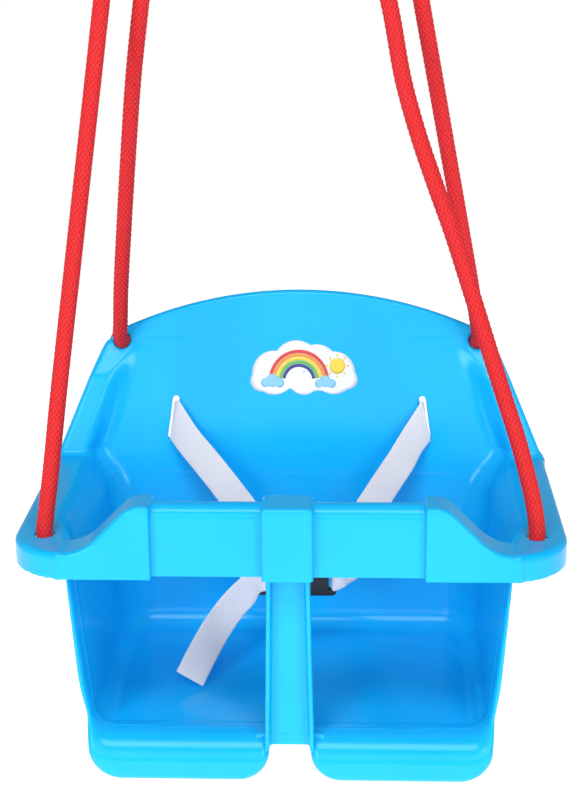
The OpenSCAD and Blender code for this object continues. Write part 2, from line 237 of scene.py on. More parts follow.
def rope_fibre():
    """Red braided fibre, with painted shade that darkens the grooves between strands."""
    n = Nodes("rope_fibre", (0.72, 0.014, 0.02), 0.7)
    uv = n.coords("UV")
    groove = n.add("Attribute", attribute_name="groove").outputs["Fac"]
    slant = n.add("Mapping", {"Vector": uv, "Rotation": (0, 0, 0.7)}).outputs[0]
    yarn = n.add("TexWave", {"Vector": slant, "Scale": 0.55, "Distortion": 1.5, "Detail": 2.0,
                             "Detail Scale": 2.0}, wave_type="BANDS").outputs["Fac"]
    fuzz = n.noise(n.coords(), 900, 4, 0.6)
    # Painted shade: the base colour darkens from each strand's crown into the grooves between strands.
    tone = n.maths("MULTIPLY", groove, n.span(fuzz, 0.25, 0.75, 0.75, 1.1))
    n.link(n.blend(tone, (0.36, 0.003, 0.005), (0.95, 0.015, 0.02)), "Base Color")
    n.link(n.span(fuzz, 0.3, 0.7, 0.6, 0.85), "Roughness")
    n.bump(n.maths("ADD", n.maths("MULTIPLY", yarn, 0.7), fuzz), 0.5, 0.0004)
    n.set(n.shader, Sheen_Weight=0.05, Sheen_Roughness=0.4, Sheen_Tint=(1, 0.5, 0.5, 1))
    return n.mat


def webbing_fibre(thread, shade, pitch=0.9):
    """Woven webbing, with painted shade where the weave sinks. UV u is across and v along, both in
    millimetres.
    """
    n = Nodes("belt_webbing", thread, 0.75)
    split = n.add("SeparateXYZ", {0: n.coords("UV")})
    across, along = split.outputs[0], split.outputs[1]

    def wave(value, length, phase=0.0):
        turn = n.maths("ADD", n.maths("MULTIPLY", value, 2 * math.pi / length), phase)
        return n.maths("SINE", turn)

    warp = n.maths("ABSOLUTE", wave(across, 2 * pitch))
    twill = wave(n.maths("ADD", along, across), 2 * pitch)
    weft = n.maths("ABSOLUTE", wave(along, 2 * pitch * 0.8))
    rise = n.maths("MULTIPLY", warp, n.span(twill, -1, 1, 0.45, 1))
    height = n.maths("ADD", rise, n.maths("MULTIPLY", weft, 0.25))
    fuzz = n.noise(n.coords(), 1500, 3)
    # Painted shade: the base colour goes from the thread colour to the shade colour where the weave sinks,
    # with a little random fuzz.
    tone = n.maths("ADD", n.span(height, 0.1, 1.1, 0.3, 1), n.span(fuzz, 0.3, 0.7, -0.08, 0.08))
    n.link(n.blend(tone, shade, thread), "Base Color")
    n.bump(n.maths("ADD", height, n.maths("MULTIPLY", fuzz, 0.3)), 0.8, 0.0004)
    n.set(n.shader, Sheen_Weight=0.2, Sheen_Roughness=0.5)
    return n.mat


def ring_steel():
    """Zinc-plated wire with its spangle."""
    n = Nodes("ring_steel", (0.6, 0.61, 0.63), 0.3)
    n.set(n.shader, Metallic=1.0)
    where = n.coords()
    spangle = n.add("TexVoronoi", {"Vector": where, "Scale": 260.0}, feature="F1").outputs["Distance"]
    cloud = n.noise(where, 90, 5, 0.6)
    n.link(n.blend(n.span(n.maths("ADD", spangle, cloud), 0.4, 1.3, 0, 1),
                   (0.42, 0.43, 0.45), (0.72, 0.73, 0.74)), "Base Color")
    n.link(n.span(cloud, 0.3, 0.7, 0.22, 0.42), "Roughness")
    n.bump(n.maths("ADD", cloud, n.noise(where, 900, 2)), 0.12, 0.0003)
    return n.mat


def buckle_plastic():
    """Black satin plastic with a fine grain."""
    n = Nodes("buckle_plastic", (0.012, 0.012, 0.015), 0.42)
    where = n.coords()
    grain = n.noise(where, 1400, 2)
    cloud = n.noise(where, 60, 4)
    n.link(n.blend(cloud, (0.009, 0.009, 0.011), (0.02, 0.02, 0.024)), "Base Color")
    n.link(n.span(cloud, 0.3, 0.7, 0.34, 0.52), "Roughness")
    n.bump(grain, 0.25, 0.0002)
    return n.mat


def stitch_thread():
    """White twisted sewing thread, with painted shade along the twist's grooves."""
    n = Nodes("stitch_thread", (0.85, 0.85, 0.87), 0.6)
    slant = n.add("Mapping", {"Vector": n.coords(), "Rotation": (0.6, 0.5, 0.7)}).outputs[0]
    twist = n.add("TexWave", {"Vector": slant, "Scale": 900.0}).outputs["Fac"]
    # Painted shade: the base colour darkens where the twist's bands sink, following the bump.
    n.link(n.blend(twist, (0.6, 0.6, 0.63), (0.9, 0.9, 0.92)), "Base Color")
    n.bump(twist, 0.4, 0.0002)
    n.set(n.shader, Sheen_Weight=0.2)
    return n.mat


def film(name, colour):
    """Printed glossy film: an even ink with faint halftone grain."""
    n = Nodes(name, colour, 0.22)
    where = n.coords()
    grain = n.noise(where, 1800, 2)
    darker = tuple(0.9 * c for c in colour)
    n.link(n.blend(n.span(grain, 0.35, 0.65, 0, 1), darker, colour), "Base Color")
    n.link(n.span(n.noise(where, 70, 3), 0.3, 0.7, 0.16, 0.3), "Roughness")
    n.bump(grain, 0.05, 0.0001)
    n.set(n.shader, Coat_Weight=0.3, Coat_Roughness=0.08)
    return n.mat


PLASTIC = shell_plastic()
ROPE = rope_fibre()
# The second colour is the painted shade in the weave's hollows.
WEBBING = webbing_fibre((0.97, 0.97, 0.98), (0.6, 0.6, 0.67))
STEEL = ring_steel()
BLACK = buckle_plastic()
THREAD = stitch_thread()

# ---- signed distances


def rmax(a, b, r):
    """Intersection with a round edge of radius r."""
    return np.minimum(-r, np.maximum(a, b)) + np.hypot(np.maximum(r + a, 0), np.maximum(r + b, 0))


def rmin(a, b, r):
    """Union with a round fillet of radius r."""
    return -rmax(-a, -b, r)


def smax(a, b, k):
    """Intersection of nearly parallel surfaces, blended where they differ by less than k."""
    return np.maximum(a, b) + 0.25 * k * np.maximum(1 - np.abs(a - b) / k, 0) ** 2


def step(low, high, v):
    """Smooth change from 0 at low to 1 at high. low may be above high."""
    t = np.clip((v - low) / (high - low), 0, 1)
    return t * t * (3 - 2 * t)


def sector(v, a, b):
    """Whether the vectors v lie between the directions a and b, anticlockwise."""
    return (a[0] * v[1] - a[1] * v[0] > 0) & (v[0] * b[1] - v[1] * b[0] > 0)


# The seat's sizes. It is symmetric, so x is measured outwards from its middle.
WALL = 3.0
FLANGE_Z, SKIRT_Z, FLOOR_Z, TOP_Z = 175.0, 156.0, 33.0, 299.0
HALF_W, FLANGE_BACK, FLANGE_CORNER = 192.5, 222.0, 45.0

# The cavity: sizes at its foot, and their growth over its height
CAVITY_FOOT, CAVITY_H = 30.0, 281.0
CAVITY_W, CAVITY_W_GROWS = 138.5, 27.2
BACK_Y, BACK_Y_GROWS = 198.0, 47.0
CORNER_R, CORNER_R_GROWS, CORNER_TIGHTENS = 27.0, 32.0, 28.0
FLARE, FLARE_Z, NARROWS = 12.0, 178.0, 0.38

# The raised back: a leaning plate with a wide arch between two shoulders, dished inside its corners
ARCH_Y, LEAN = 215.0, math.radians(16.7)
ARCH_RISE = (TOP_Z - FLANGE_Z) / math.cos(LEAN)
ARCH_R, SHOULDER_R, SHOULDER_X = 341.0, 34.0, 126.0
ARCH_MID = ARCH_RISE - ARCH_R
SHOULDER_S = ARCH_MID + math.sqrt((ARCH_R - SHOULDER_R) ** 2 - SHOULDER_X**2)
RIM = 13.0
DISH_X, DISH_LEAN, DISH_Y, DISH_Z, DISH_FORWARD = 165.6, 0.24, 195.0, 171.0, 9.0

# The front bar: ends that slope down to the flange, a recessed middle and a block over the post
BAR_TOP, BAR_FRONT, BAR_BACK = 209.0, -2.0, 27.0
END_IN, END_OUT, END_SLOPE = 93.0, 158.0, 107.0
MIDDLE_TOP, MIDDLE_Y, MIDDLE_HALF = 207.3, 14.0, 9.0
BLOCK_HALF, BLOCK_Y, BLOCK_DEEP = 17.5, 11.5, 15.5

# The post: (height, half width) at its top and foot, and its place in y
POST_TOP, POST_FOOT = (204.0, 14.0), (30.0, 17.3)
POST_Y, POST_HALF, POST_LIP, CHANNEL_Y = 10.5, 6.5, 3.3, 14.0
POST_FROM, POST_TO = 24.5, 205.0

# The thigh lobes: (x, z) and radius of each lower corner, and where the sides end at the top
LOBE_OUT, LOBE_OUT_R, LOBE_OUT_TOP = (119.0, 24.0), 24.0, (153.0, 157.0)
LOBE_IN, LOBE_IN_R, LOBE_IN_TOP = (36.5, 22.0), 22.0, (12.0, 157.0)
LOBE_FRONT, LOBE_BACK, LOBE_INSIDE, LOBE_TOP = 4.0, 20.0, 32.0, 158.0

BACK_HOLE, FRONT_HOLE, HOLE_R, KNOT_SEAT_R = (141.0, 89.0), (171.0, 36.0), 6.75, 11.6
SLOT, SLOT_LEAN, SLOT_HALF_W, SLOT_HALF_H = (100.0, 200.0), math.radians(8), 2.5, 17.0


def touch(c, r, p, side):
    """Unit direction from a circle's centre to where the tangent through p touches it."""
    d = np.subtract(p, c)
    a = math.atan2(d[1], d[0]) + side * math.acos(r / math.hypot(*d))
    return math.cos(a), math.sin(a)


def cavity(x, y, z):
    """Negative where the child sits."""
    f = np.maximum((z - CAVITY_FOOT) / CAVITY_H, -0.1)
    flare = step(148, FLARE_Z, z) * step(30, 80, y)
    r = CORNER_R + CORNER_R_GROWS * f - CORNER_TIGHTENS * step(90, FLARE_Z, z) * step(100, 150, y)
    hw = CAVITY_W + CAVITY_W_GROWS * f + FLARE * flare - NARROWS * np.maximum(z - FLARE_Z, 0)
    back = BACK_Y + BACK_Y_GROWS * f
    qx, qy = x - (hw - r), y - (back - r)
    corner = np.hypot(np.maximum(qx, 0), np.maximum(qy, 0))
    side = 0.99 * (corner + np.minimum(np.maximum(qx, qy), 0) - r)
    seat = FLOOR_Z + 0.011 * np.maximum(y - 55, 0) - z
    return rmax(side, seat, 13)


def arch_place(y, z):
    """Distance behind the raised back's plane, and the way up it."""
    return ((y - ARCH_Y) * math.cos(LEAN) - (z - FLANGE_Z) * math.sin(LEAN),
            (y - ARCH_Y) * math.sin(LEAN) + (z - FLANGE_Z) * math.cos(LEAN))


def arch_outline(x, s):
    """Outline of the raised back in its own plane, s up it: arch, shoulder and straight side."""
    top = (SHOULDER_X / (ARCH_R - SHOULDER_R), (SHOULDER_S - ARCH_MID) / (ARCH_R - SHOULDER_R))
    side = touch((SHOULDER_X, SHOULDER_S), SHOULDER_R, (HALF_W - 2, 0), 1)
    v = (x - SHOULDER_X, s - SHOULDER_S)
    over = top[0] * v[1] - top[1] * v[0] > 0
    corner = side[0] * v[1] - side[1] * v[0] > 0
    return np.maximum(x - HALF_W, np.where(
        over, np.hypot(x, s - ARCH_MID) - ARCH_R,
        np.where(corner, np.hypot(*v) - SHOULDER_R, v[0] * side[0] + v[1] * side[1] - SHOULDER_R)))


def bar(x, y, z):
    """The front bar, unbounded below: its ends, its middle and its block."""
    slope = ((x - END_SLOPE) + (z - BAR_TOP)) * math.sqrt(0.5)
    over = rmin(rmax(z - BAR_TOP, slope, 5), z - FLANGE_Z, 9)
    end = rmax(over, np.maximum(BAR_FRONT - y, y - BAR_BACK), 3.6)
    end = rmax(end, rmax(END_IN - x, x - END_OUT, 0.5), 1.6)
    middle = rmax(np.abs(y - MIDDLE_Y) - MIDDLE_HALF, z - MIDDLE_TOP, 8.8)
    middle = rmax(middle, x - (END_IN + 2), 0.5)
    block = rmax(rmax(x - BLOCK_HALF, np.abs(y - BLOCK_Y) - BLOCK_DEEP, 2.2), z - BAR_TOP, 3.6)
    return rmin(rmin(end, middle, 1.0), block, 1.0)


def leg(x, z):
    """Outline of one thigh lobe and leg opening, seen from the front."""
    n_out = touch(LOBE_OUT, LOBE_OUT_R, LOBE_OUT_TOP, -1)
    n_in = touch(LOBE_IN, LOBE_IN_R, LOBE_IN_TOP, 1)
    down = (0, -1)
    a, b = (x - LOBE_OUT[0], z - LOBE_OUT[1]), (x - LOBE_IN[0], z - LOBE_IN[1])
    d_out = a[0] * n_out[0] + a[1] * n_out[1] - LOBE_OUT_R
    d_in = b[0] * n_in[0] + b[1] * n_in[1] - LOBE_IN_R
    d = np.maximum(np.maximum(d_out, d_in), -z)
    d = np.where(sector(a, down, n_out), np.hypot(*a) - LOBE_OUT_R, d)
    return np.where(sector(b, n_in, down), np.hypot(*b) - LOBE_IN_R, d)


def post(x, y, z):
    """The centre post: a bar that widens downwards, with a channel between two ribs."""
    hw = POST_TOP[1] + (POST_TOP[0] - z) * (POST_FOOT[1] - POST_TOP[1]) / (POST_TOP[0] - POST_FOOT[0])
    whole = rmax(x - hw, np.abs(y - POST_Y) - POST_HALF, 1.5)
    whole = rmax(whole, np.maximum(POST_FROM - z, z - POST_TO), 1.0)
    channel = rmax(x - hw + POST_LIP, y - CHANNEL_Y, 3.0)
    return rmax(whole, -channel, 1.3)


def upper_shell(x, y, z, cav, behind, up):
    """Flange, arms, raised back and bar, as one skin that is open underneath."""
    forward = DISH_FORWARD * (1 - step(232, 262, z)) * step(105, 135, x)
    outline = rmax(rmax(x - HALF_W, BAR_FRONT - y, FLANGE_CORNER), y - FLANGE_BACK, 10)
    arms = rmax(outline, z - FLANGE_Z, 4.5)
    clear = np.maximum(step(256, 272, z), 1 - step(70, 100, x))
    dish = rmax(x - DISH_X + DISH_LEAN * np.maximum(z - FLANGE_Z, 0), behind + 6 * clear, 30)
    dish = rmax(rmax(dish, DISH_Y - y, 6), DISH_Z - z, 6)
    back = rmax(arch_outline(x, up), -behind - forward, 4.2)
    block = smax(rmin(arms, back, 5), -dish, 6)
    side = step(85, 120, x)
    hollow = (1 - side) * smax(block, -cav, 8) + side * rmax(block, -cav, 2.5 + 4.5 * step(95, 150, x))
    whole = rmin(hollow, bar(x, y, z), 3)
    skin = np.maximum(whole, -whole - WALL)
    below = np.maximum(SKIRT_Z - z, behind + 0.5 * forward - RIM)
    away = np.maximum(np.abs(cav - WALL / 2) - WALL / 2 - 0.2, 24 - y)
    return rmax(skin, np.minimum(below, away), 0.9)


def thigh_lobes(x, y, z, cav):
    """The front's two lobes with the leg openings above them, open towards the back."""
    low = step(85, 36, z)
    front = rmax(LOBE_FRONT - y, -cav, 6 + 14 * low)
    whole = rmax(front, leg(x, z), 2 + 4 * low)
    skin = np.maximum(whole, -whole - WALL)
    away = np.maximum(cav - WALL - 0.2, y - LOBE_INSIDE)
    return rmax(skin, np.maximum(np.minimum(y - LOBE_BACK, away), z - LOBE_TOP), 0.9)


def shell_holes(x, y, z, behind, up):
    """Rope holes, the knots' seats in the rim, and the belt's slots."""
    front_hole = np.maximum(np.hypot(x - FRONT_HOLE[0], y - FRONT_HOLE[1]) - HOLE_R, 165 - z)
    off_axis = np.hypot(x - BACK_HOLE[0], up - BACK_HOLE[1])
    back_hole = np.maximum(off_axis - HOLE_R, np.abs(behind) - 12)
    knot_seat = np.maximum(off_axis - KNOT_SEAT_R, np.abs(behind - 24) - 20.9)
    c, s = math.cos(SLOT_LEAN), math.sin(SLOT_LEAN)
    u, w = (x - SLOT[0]) * c + (z - SLOT[1]) * s, (z - SLOT[1]) * c - (x - SLOT[0]) * s
    slot = rmax(np.abs(u) - SLOT_HALF_W, np.abs(w) - SLOT_HALF_H, 2.4)
    slot = np.maximum(slot, np.abs(y - 226) - 14)
    return np.minimum(np.minimum(front_hole, back_hole), np.minimum(knot_seat, slot))


def shell_field(x, y, z):
    """Signed distance to the whole moulding."""
    x = np.abs(x)
    cav = cavity(x, y, z)
    behind, up = arch_place(y, z)
    upper = upper_shell(x, y, z, cav, behind, up)
    lobes = thigh_lobes(x, y, z, cav)
    bridge = rmax(x - 24, np.abs(y - 23) - 8, 1)
    bridge = rmax(bridge, np.abs(z - (FLOOR_Z - WALL / 2)) - WALL / 2, 1)
    body = rmin(rmin(rmin(upper, lobes, 1.0), bridge, 1.0), post(x, y, z), 2.5)
    return rmax(body, -shell_holes(x, y, z, behind, up), 0.9)


def nets(field, low, high, h, mirrored=False):
    """Surface of a signed distance field: one vertex per crossed cell, moved onto it.

    Gives points, faces and normals. A mirrored field is worked out on one side of x = 0.
    """
    low, high = np.asarray(low, float), np.asarray(high, float)
    count = np.ceil((high - low) / h).astype(int) + 1
    axes = [low[i] + h * np.arange(count[i]) for i in range(3)]
    grid_y, grid_z = np.meshgrid(axes[1], axes[2], indexing="ij")
    f = np.empty(count, np.float32)
    for i, x in enumerate(axes[0]):
        j = count[0] - 1 - i
        if mirrored and j < i:
            f[i] = f[j]
        else:
            f[i] = field(np.full_like(grid_y, x), grid_y, grid_z)
    inside = f < 0
    corners = [(i, j, k) for i in (0, 1) for j in (0, 1) for k in (0, 1)]

    def at(a, o):
        return a[o[0]:a.shape[0] - 1 + o[0], o[1]:a.shape[1] - 1 + o[1], o[2]:a.shape[2] - 1 + o[2]]

    total = sum(at(inside, o).astype(np.int8) for o in corners)
    active = (total > 0) & (total < 8)
    cells = np.argwhere(active)
    index = np.full(active.shape, -1, np.int64)
    index[active] = np.arange(len(cells))
    place, hits = np.zeros((len(cells), 3)), np.zeros(len(cells))
    for axis in range(3):
        for o in corners:
            if o[axis]:
                continue
            end = list(o)
            end[axis] = 1
            a = f[tuple((cells + o).T)]
            b = f[tuple((cells + end).T)]
            cross = (a < 0) != (b < 0)
            t = np.where(cross, a / np.where(cross, a - b, 1), 0)
            place[cross] += np.asarray(o, float)
            place[cross, axis] += t[cross]
            hits += cross
    points = low + h * (cells + place / hits[:, None])

    faces = []
    for axis in range(3):
        u, v = (axis + 1) % 3, (axis + 2) % 3
        first = [slice(None)] * 3
        second = [slice(None)] * 3
        first[axis], second[axis] = slice(0, -1), slice(1, None)
        a, b = inside[tuple(first)], inside[tuple(second)]
        edges = np.argwhere(a != b)
        edges = edges[(edges[:, u] > 0) & (edges[:, v] > 0)
                      & (edges[:, u] < count[u] - 1) & (edges[:, v] < count[v] - 1)]
        outward = a[tuple(edges.T)]
        quad = []
        for du, dv in ((-1, -1), (0, -1), (0, 0), (-1, 0)):
            cell = edges.copy()
            cell[:, u] += du
            cell[:, v] += dv
            quad.append(index[tuple(cell.T)])
        quad = np.stack(quad, 1)
        quad[~outward] = quad[~outward][:, ::-1]
        faces.append(quad)
    faces = np.concatenate(faces).tolist()

    def gradient(p):
        e, g = 0.05, np.zeros_like(p)
        for s in ((1, -1, -1), (-1, -1, 1), (-1, 1, -1), (1, 1, 1)):
            q = p + e * np.asarray(s)
            g += np.asarray(s) * field(q[:, 0], q[:, 1], q[:, 2])[:, None]
        return g / (4 * e)

    start = points.copy()
    for _ in range(4):
        g = gradient(points)
        d = field(points[:, 0], points[:, 1], points[:, 2])
        move = -(d / np.maximum((g * g).sum(1), 0.3))[:, None] * g
        points = start + np.clip(points + move - start, -0.8 * h, 0.8 * h)
    g = gradient(points)
    return points, faces, g / np.maximum(np.linalg.norm(g, axis=1), 1e-9)[:, None]


# ---- making pieces


def add_piece(name, points, faces, materials, normals=None, uv=None, groove=None):
    """A smooth mesh object from seat millimetres. uv is per face corner, groove (painted shade in the
    rope's grooves) and normals per vertex.
    """
    mesh = bpy.data.meshes.new(name)
    mesh.from_pydata(to_frame(points).tolist(), [], faces)
    mesh.update()
    mesh.polygons.foreach_set("use_smooth", np.ones(len(mesh.polygons), bool))
    if uv is not None:
        layer = mesh.uv_layers.new(name="UVMap")
        layer.data.foreach_set("uv", np.asarray(uv, np.float32).ravel())
    if groove is not None:
        attribute = mesh.attributes.new("groove", "FLOAT", "POINT")
        attribute.data.foreach_set("value", np.asarray(groove, np.float32))
    if normals is not None:
        mesh.normals_split_custom_set_from_vertices(normals.tolist())
    for m in materials:
        mesh.materials.append(m)
    obj = bpy.data.objects.new(name, mesh)
    put_in(obj)
    return obj


def settle(obj, body, slot, *nodes):
    """Hides the CAD nodes a piece stands for and puts it on the body it rides on. slot, its material slot,
    is not used.
    """
    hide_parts(*nodes)
    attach(obj, body)
    return obj


def unit(v):
    """The vectors v at length 1."""
    v = np.asarray(v, float)
    return v / np.maximum(np.linalg.norm(v, axis=-1, keepdims=True), 1e-12)


def even(points, spacing):
    """Evenly spaced points along a polyline of any number of columns; the first three are the place."""
    p = np.asarray(points, float)
    s = np.concatenate([[0], np.cumsum(np.linalg.norm(np.diff(p[:, :3], axis=0), axis=1))])
    t = np.linspace(0, s[-1], max(2, int(round(s[-1] / spacing)) + 1))
    return np.stack([np.interp(t, s, p[:, i]) for i in range(p.shape[1])], 1), t


def curve(points, spacing):
    """A smooth curve through the points, evenly spaced, and the length along it."""
    p = np.asarray(points, float)
    h = np.linalg.norm(np.diff(p[:, :3], axis=0), axis=1)
    slope = np.diff(p, axis=0) / h[:, None]
    m = np.empty_like(p)
    m[0], m[-1] = slope[0], slope[-1]
    m[1:-1] = (slope[:-1] * h[1:, None] + slope[1:] * h[:-1, None]) / (h[1:] + h[:-1])[:, None]
    t = np.linspace(0, 1, 24, endpoint=False)[:, None]
    parts = []
    for i, length in enumerate(h):
        a, b = m[i] * length, m[i + 1] * length
        parts.append((2 * t**3 - 3 * t**2 + 1) * p[i] + (t**3 - 2 * t**2 + t) * a
                     + (3 * t**2 - 2 * t**3) * p[i + 1] + (t**3 - t**2) * b)
    return even(np.concatenate(parts + [p[-1:]]), spacing)


def tangents(path, closed=False):
    """Unit direction of a path at each of its points."""
    if closed:
        return unit(np.roll(path, -1, 0) - np.roll(path, 1, 0))
    return unit(np.gradient(path, axis=0))


def carried(path, closed=False):
    """Tangent and two side directions that turn as little as possible along the path."""
    t = tangents(path, closed)
    n = np.empty_like(t)
    n[0] = unit(np.cross(t[0], (0.31, 0.83, 0.46)))
    for i in range(1, len(t)):
        n[i] = unit(n[i - 1] - t[i] * (n[i - 1] @ t[i]))
    if closed:
        last = unit(n[-1] - t[0] * (n[-1] @ t[0]))
        twist = math.atan2(np.cross(n[0], last) @ t[0], n[0] @ last)
        a = -twist * np.arange(len(t))[:, None] / len(t)
        n = np.cos(a) * n + np.sin(a) * np.cross(t, n)
    return t, n, np.cross(t, n)


def turns(around):
    """Angles evenly spaced round a circle."""
    return 2 * np.pi * np.arange(around) / around


def girth(radius, around):
    """Distance round a tube at each of its corners, back to the first."""
    return 2 * np.pi * radius * np.arange(around + 1) / around


def tube(path, radius, around, closed=False):
    """Rings of points round a path. radius is one number, or an array by ring and point."""
    _, n, b = carried(path, closed)
    angle = turns(around)
    spokes = np.cos(angle)[None, :, None] * n[:, None] + np.sin(angle)[None, :, None] * b[:, None]
    return path[:, None] + np.asarray(radius, float)[..., None] * spokes


class Parts:
    """Several grids of points gathered into one mesh."""

    def __init__(self):
        self.points, self.faces, self.uv, self.groove, self.slots = [], [], [], [], []
        self.count = 0

    def grid(self, points, u, v, groove=None, closed=False, caps=True, slot=0):
        """points[i, j]: j runs round a closed section. u (one more than j) and v (by i) are its UV."""
        n, k = points.shape[:2]
        rows = n if closed else n - 1
        i, j = np.meshgrid(np.arange(rows), np.arange(k), indexing="ij")
        i, j = i.ravel(), j.ravel()
        i2, j2 = (i + 1) % n, (j + 1) % k
        self.faces.append(self.count + np.stack([i * k + j, i * k + j2, i2 * k + j2, i2 * k + j], 1))
        v = np.asarray(v, float)
        v2 = np.concatenate([v[1:], [2 * v[-1] - v[-2]]])[i] if closed else v[i2]
        u = np.asarray(u, float)
        self.uv.append(np.stack([u[j], v[i], u[j + 1], v[i], u[j + 1], v2, u[j], v2], 1).reshape(-1, 2))
        self.points.append(points.reshape(-1, 3))
        self.groove.append(np.ones(n * k) if groove is None else groove.ravel())
        self.slots += [slot] * len(i)
        if caps and not closed:
            for row, order in ((0, -1), (n - 1, 1)):
                ring = points[row]
                centre = len(self.points[-1])
                self.points[-1] = np.vstack([self.points[-1], ring.mean(0)])
                self.groove[-1] = np.append(self.groove[-1], 0.8)
                a = self.count + row * k + np.arange(k)
                b = self.count + row * k + (np.arange(k) + 1) % k
                if order < 0:
                    a, b = b, a
                tri = np.stack([a, b, np.full(k, self.count + centre), np.full(k, self.count + centre)], 1)
                self.faces.append(tri)
                self.uv.append(np.tile([[u[0], v[row]]], (4 * k, 1)))
                self.slots += [slot] * k
        self.count += len(self.points[-1])

    def make(self, name, materials):
        """The gathered grids as one object. A face whose last two corners agree is a triangle."""
        faces = np.concatenate(self.faces)
        uv = np.concatenate(self.uv).reshape(-1, 4, 2)
        polygons, loops = [], []
        for f, c in zip(faces.tolist(), uv):
            keep = 3 if f[2] == f[3] else 4
            polygons.append(f[:keep])
            loops.append(c[:keep])
        obj = add_piece(name, np.concatenate(self.points), polygons, materials,
                        uv=np.concatenate(loops), groove=np.concatenate(self.groove))
        obj.data.polygons.foreach_set("material_index", self.slots)
        return obj


# ---- ropes

ROPE_R = 5.75
STRANDS, LEAD = 10, 4.6


def rope_tube(parts, path, s, radius, closed=False, around=60):
    """Braided rope: strands of two families pass over and under each other."""
    angle = turns(around)
    lead = LEAD * radius / ROPE_R
    if closed:
        whole = s[-1] + (s[1] - s[0])
        lead = whole / (2 * max(1, round(whole / lead / 2)))
    a = STRANDS * angle[None] / (2 * np.pi) + s[:, None] / lead
    c = STRANDS * angle[None] / (2 * np.pi) - s[:, None] / lead
    fa, fc = a % 1, c % 1
    first = (np.floor(a) + np.floor(c)) % 2 == 0
    width, length = np.where(first, fa, fc), np.where(first, fc, fa)
    rise = np.sin(np.pi * width) ** 0.7 * (0.35 + 0.65 * np.sin(np.pi * length) ** 0.8)
    points = tube(path, radius * (0.905 + 0.135 * rise), around, closed)
    # rise is 1 on a strand's crown and 0 in its grooves, and also sets the painted shade in the grooves.
    parts.grid(points, girth(radius, around), s, groove=rise ** 0.8, closed=closed)


def twine(parts, path, s, radius, around=10):
    """Thin round cord of one even tone."""
    tone = np.full((len(path), around), 0.85)
    parts.grid(tube(path, radius, around), girth(radius, around), s, groove=tone)


def arch_point(x, s, d):
    """The point at x, s up the raised back's plane and d behind it."""
    return np.array([x, ARCH_Y + s * math.sin(LEAN) + d * math.cos(LEAN),
                     FLANGE_Z + s * math.cos(LEAN) - d * math.sin(LEAN)])


ARCH_IN = np.array([0, math.cos(LEAN), -math.sin(LEAN)])
RING_X, EYE_GAP, EYE_R = (-105.0, 63.0), 26.0, 9.15
WHIP_START, WHIP_LEN, TWINE_R = 12.0, 38.0, 0.95
# Seat millimetres, from each hole up to its eye
ROUTES = {
    "front_left": [[-171, 36, 178], [-170, 38, 187], [-167, 43, 210], [-160, 55, 270],
                   [-150, 72, 350], [-140, 89, 430], [-130, 106, 510]],
    "front_right": [[171, 36, 178], [170, 37.5, 188], [167.5, 41, 202], [163, 45.5, 220],
                    [157, 50, 241], [148, 55, 268], [139, 61, 295], [124, 71, 341], [111, 78.5, 380],
                    [99, 86, 412], [88, 92.5, 443], [78, 99.5, 477], [68, 110, 528]],
    "back_left": [[-141, 231, 268], [-140, 227, 275], [-137, 216, 304], [-130, 198, 360],
                  [-122, 179, 420], [-113, 157, 480], [-104, 140, 530]],
    "back_right": [[141, 231, 268], [140, 227, 275], [135, 216, 304], [124, 198, 360],
                   [112, 179, 420], [100, 157, 480], [90, 140, 530]],
}


def stopper(name, place, inward):
    """Overhand knot drawn tight under or behind the hole, with its short tail."""
    z = unit(inward)
    x = unit(np.cross((0, 1, 0.2), z))
    y = np.cross(z, x)
    turn = np.linspace(0, 2 * np.pi, 361)[:-1]
    wind = np.stack([2.35 * (np.sin(turn) + 2 * np.sin(2 * turn)),
                     2.35 * (np.cos(turn) - 2 * np.cos(2 * turn)), 11.6 - 5.6 * np.sin(3 * turn)], 1)
    parts = Parts()
    loop, s = even(np.vstack([wind, wind[:1]]), 0.6)
    world = place + loop[:-1, :1] * x + loop[:-1, 1:2] * y + loop[:-1, 2:] * z
    rope_tube(parts, world, s[:-1], 4.1, closed=True, around=48)
    end, s = curve([[0, 0, 6], [0.8, 0.4, 14], [2, 0.6, 21], [2.2, 0.2, 27]], 0.6)
    rope_tube(parts, place + end[:, :1] * x + end[:, 1:2] * y + end[:, 2:] * z, s, 5.3)
    obj = parts.make("stopper_" + name, [ROPE])
    return settle(obj, "swing", "rope_fibre", "knot_" + name)


def eye(name, centre, down):
    """Rope turned round the ring's bar and seized back on itself."""
    side = unit(np.cross((1, 0, 0), down))
    across = np.cross(down, side)
    half = [(46, 4.7), (34, 4.7), (22, 5.2), (12, 8.0), (3, EYE_R)]
    bend = [(-EYE_R * math.sin(a), EYE_R * math.cos(a)) for a in np.radians(range(15, 166, 15))]
    flat = half + bend + [(d, -o) for d, o in reversed(half)]
    path, s = curve([centre + d * down + o * side for d, o in flat], 0.6)
    parts = Parts()
    rope_tube(parts, path, s, ROPE_R)
    laps = int(WHIP_LEN / (2 * TWINE_R))
    a = np.linspace(0, 2 * np.pi * laps, laps * 40)
    along = WHIP_START + 1 + (WHIP_LEN - 2) * a / a[-1]
    bulge = 1 - 0.05 * np.abs(along - WHIP_START - WHIP_LEN / 2) / (WHIP_LEN / 2)
    c, d = np.cos(a), np.sin(a)
    oval = (np.abs(c) ** 2.7 + np.abs(d) ** 2.7) ** (-1 / 2.7)
    wrap = (centre + along[:, None] * down + (10.7 * bulge * oval * c)[:, None] * side
            + (6.6 * bulge * oval * d)[:, None] * across)
    wrap, s = even(wrap, 1.2)
    twine(parts, wrap, s, TWINE_R)
    obj = parts.make("eye_splice_" + name, [ROPE])
    return settle(obj, "swing", "rope_fibre", "eye_" + name)


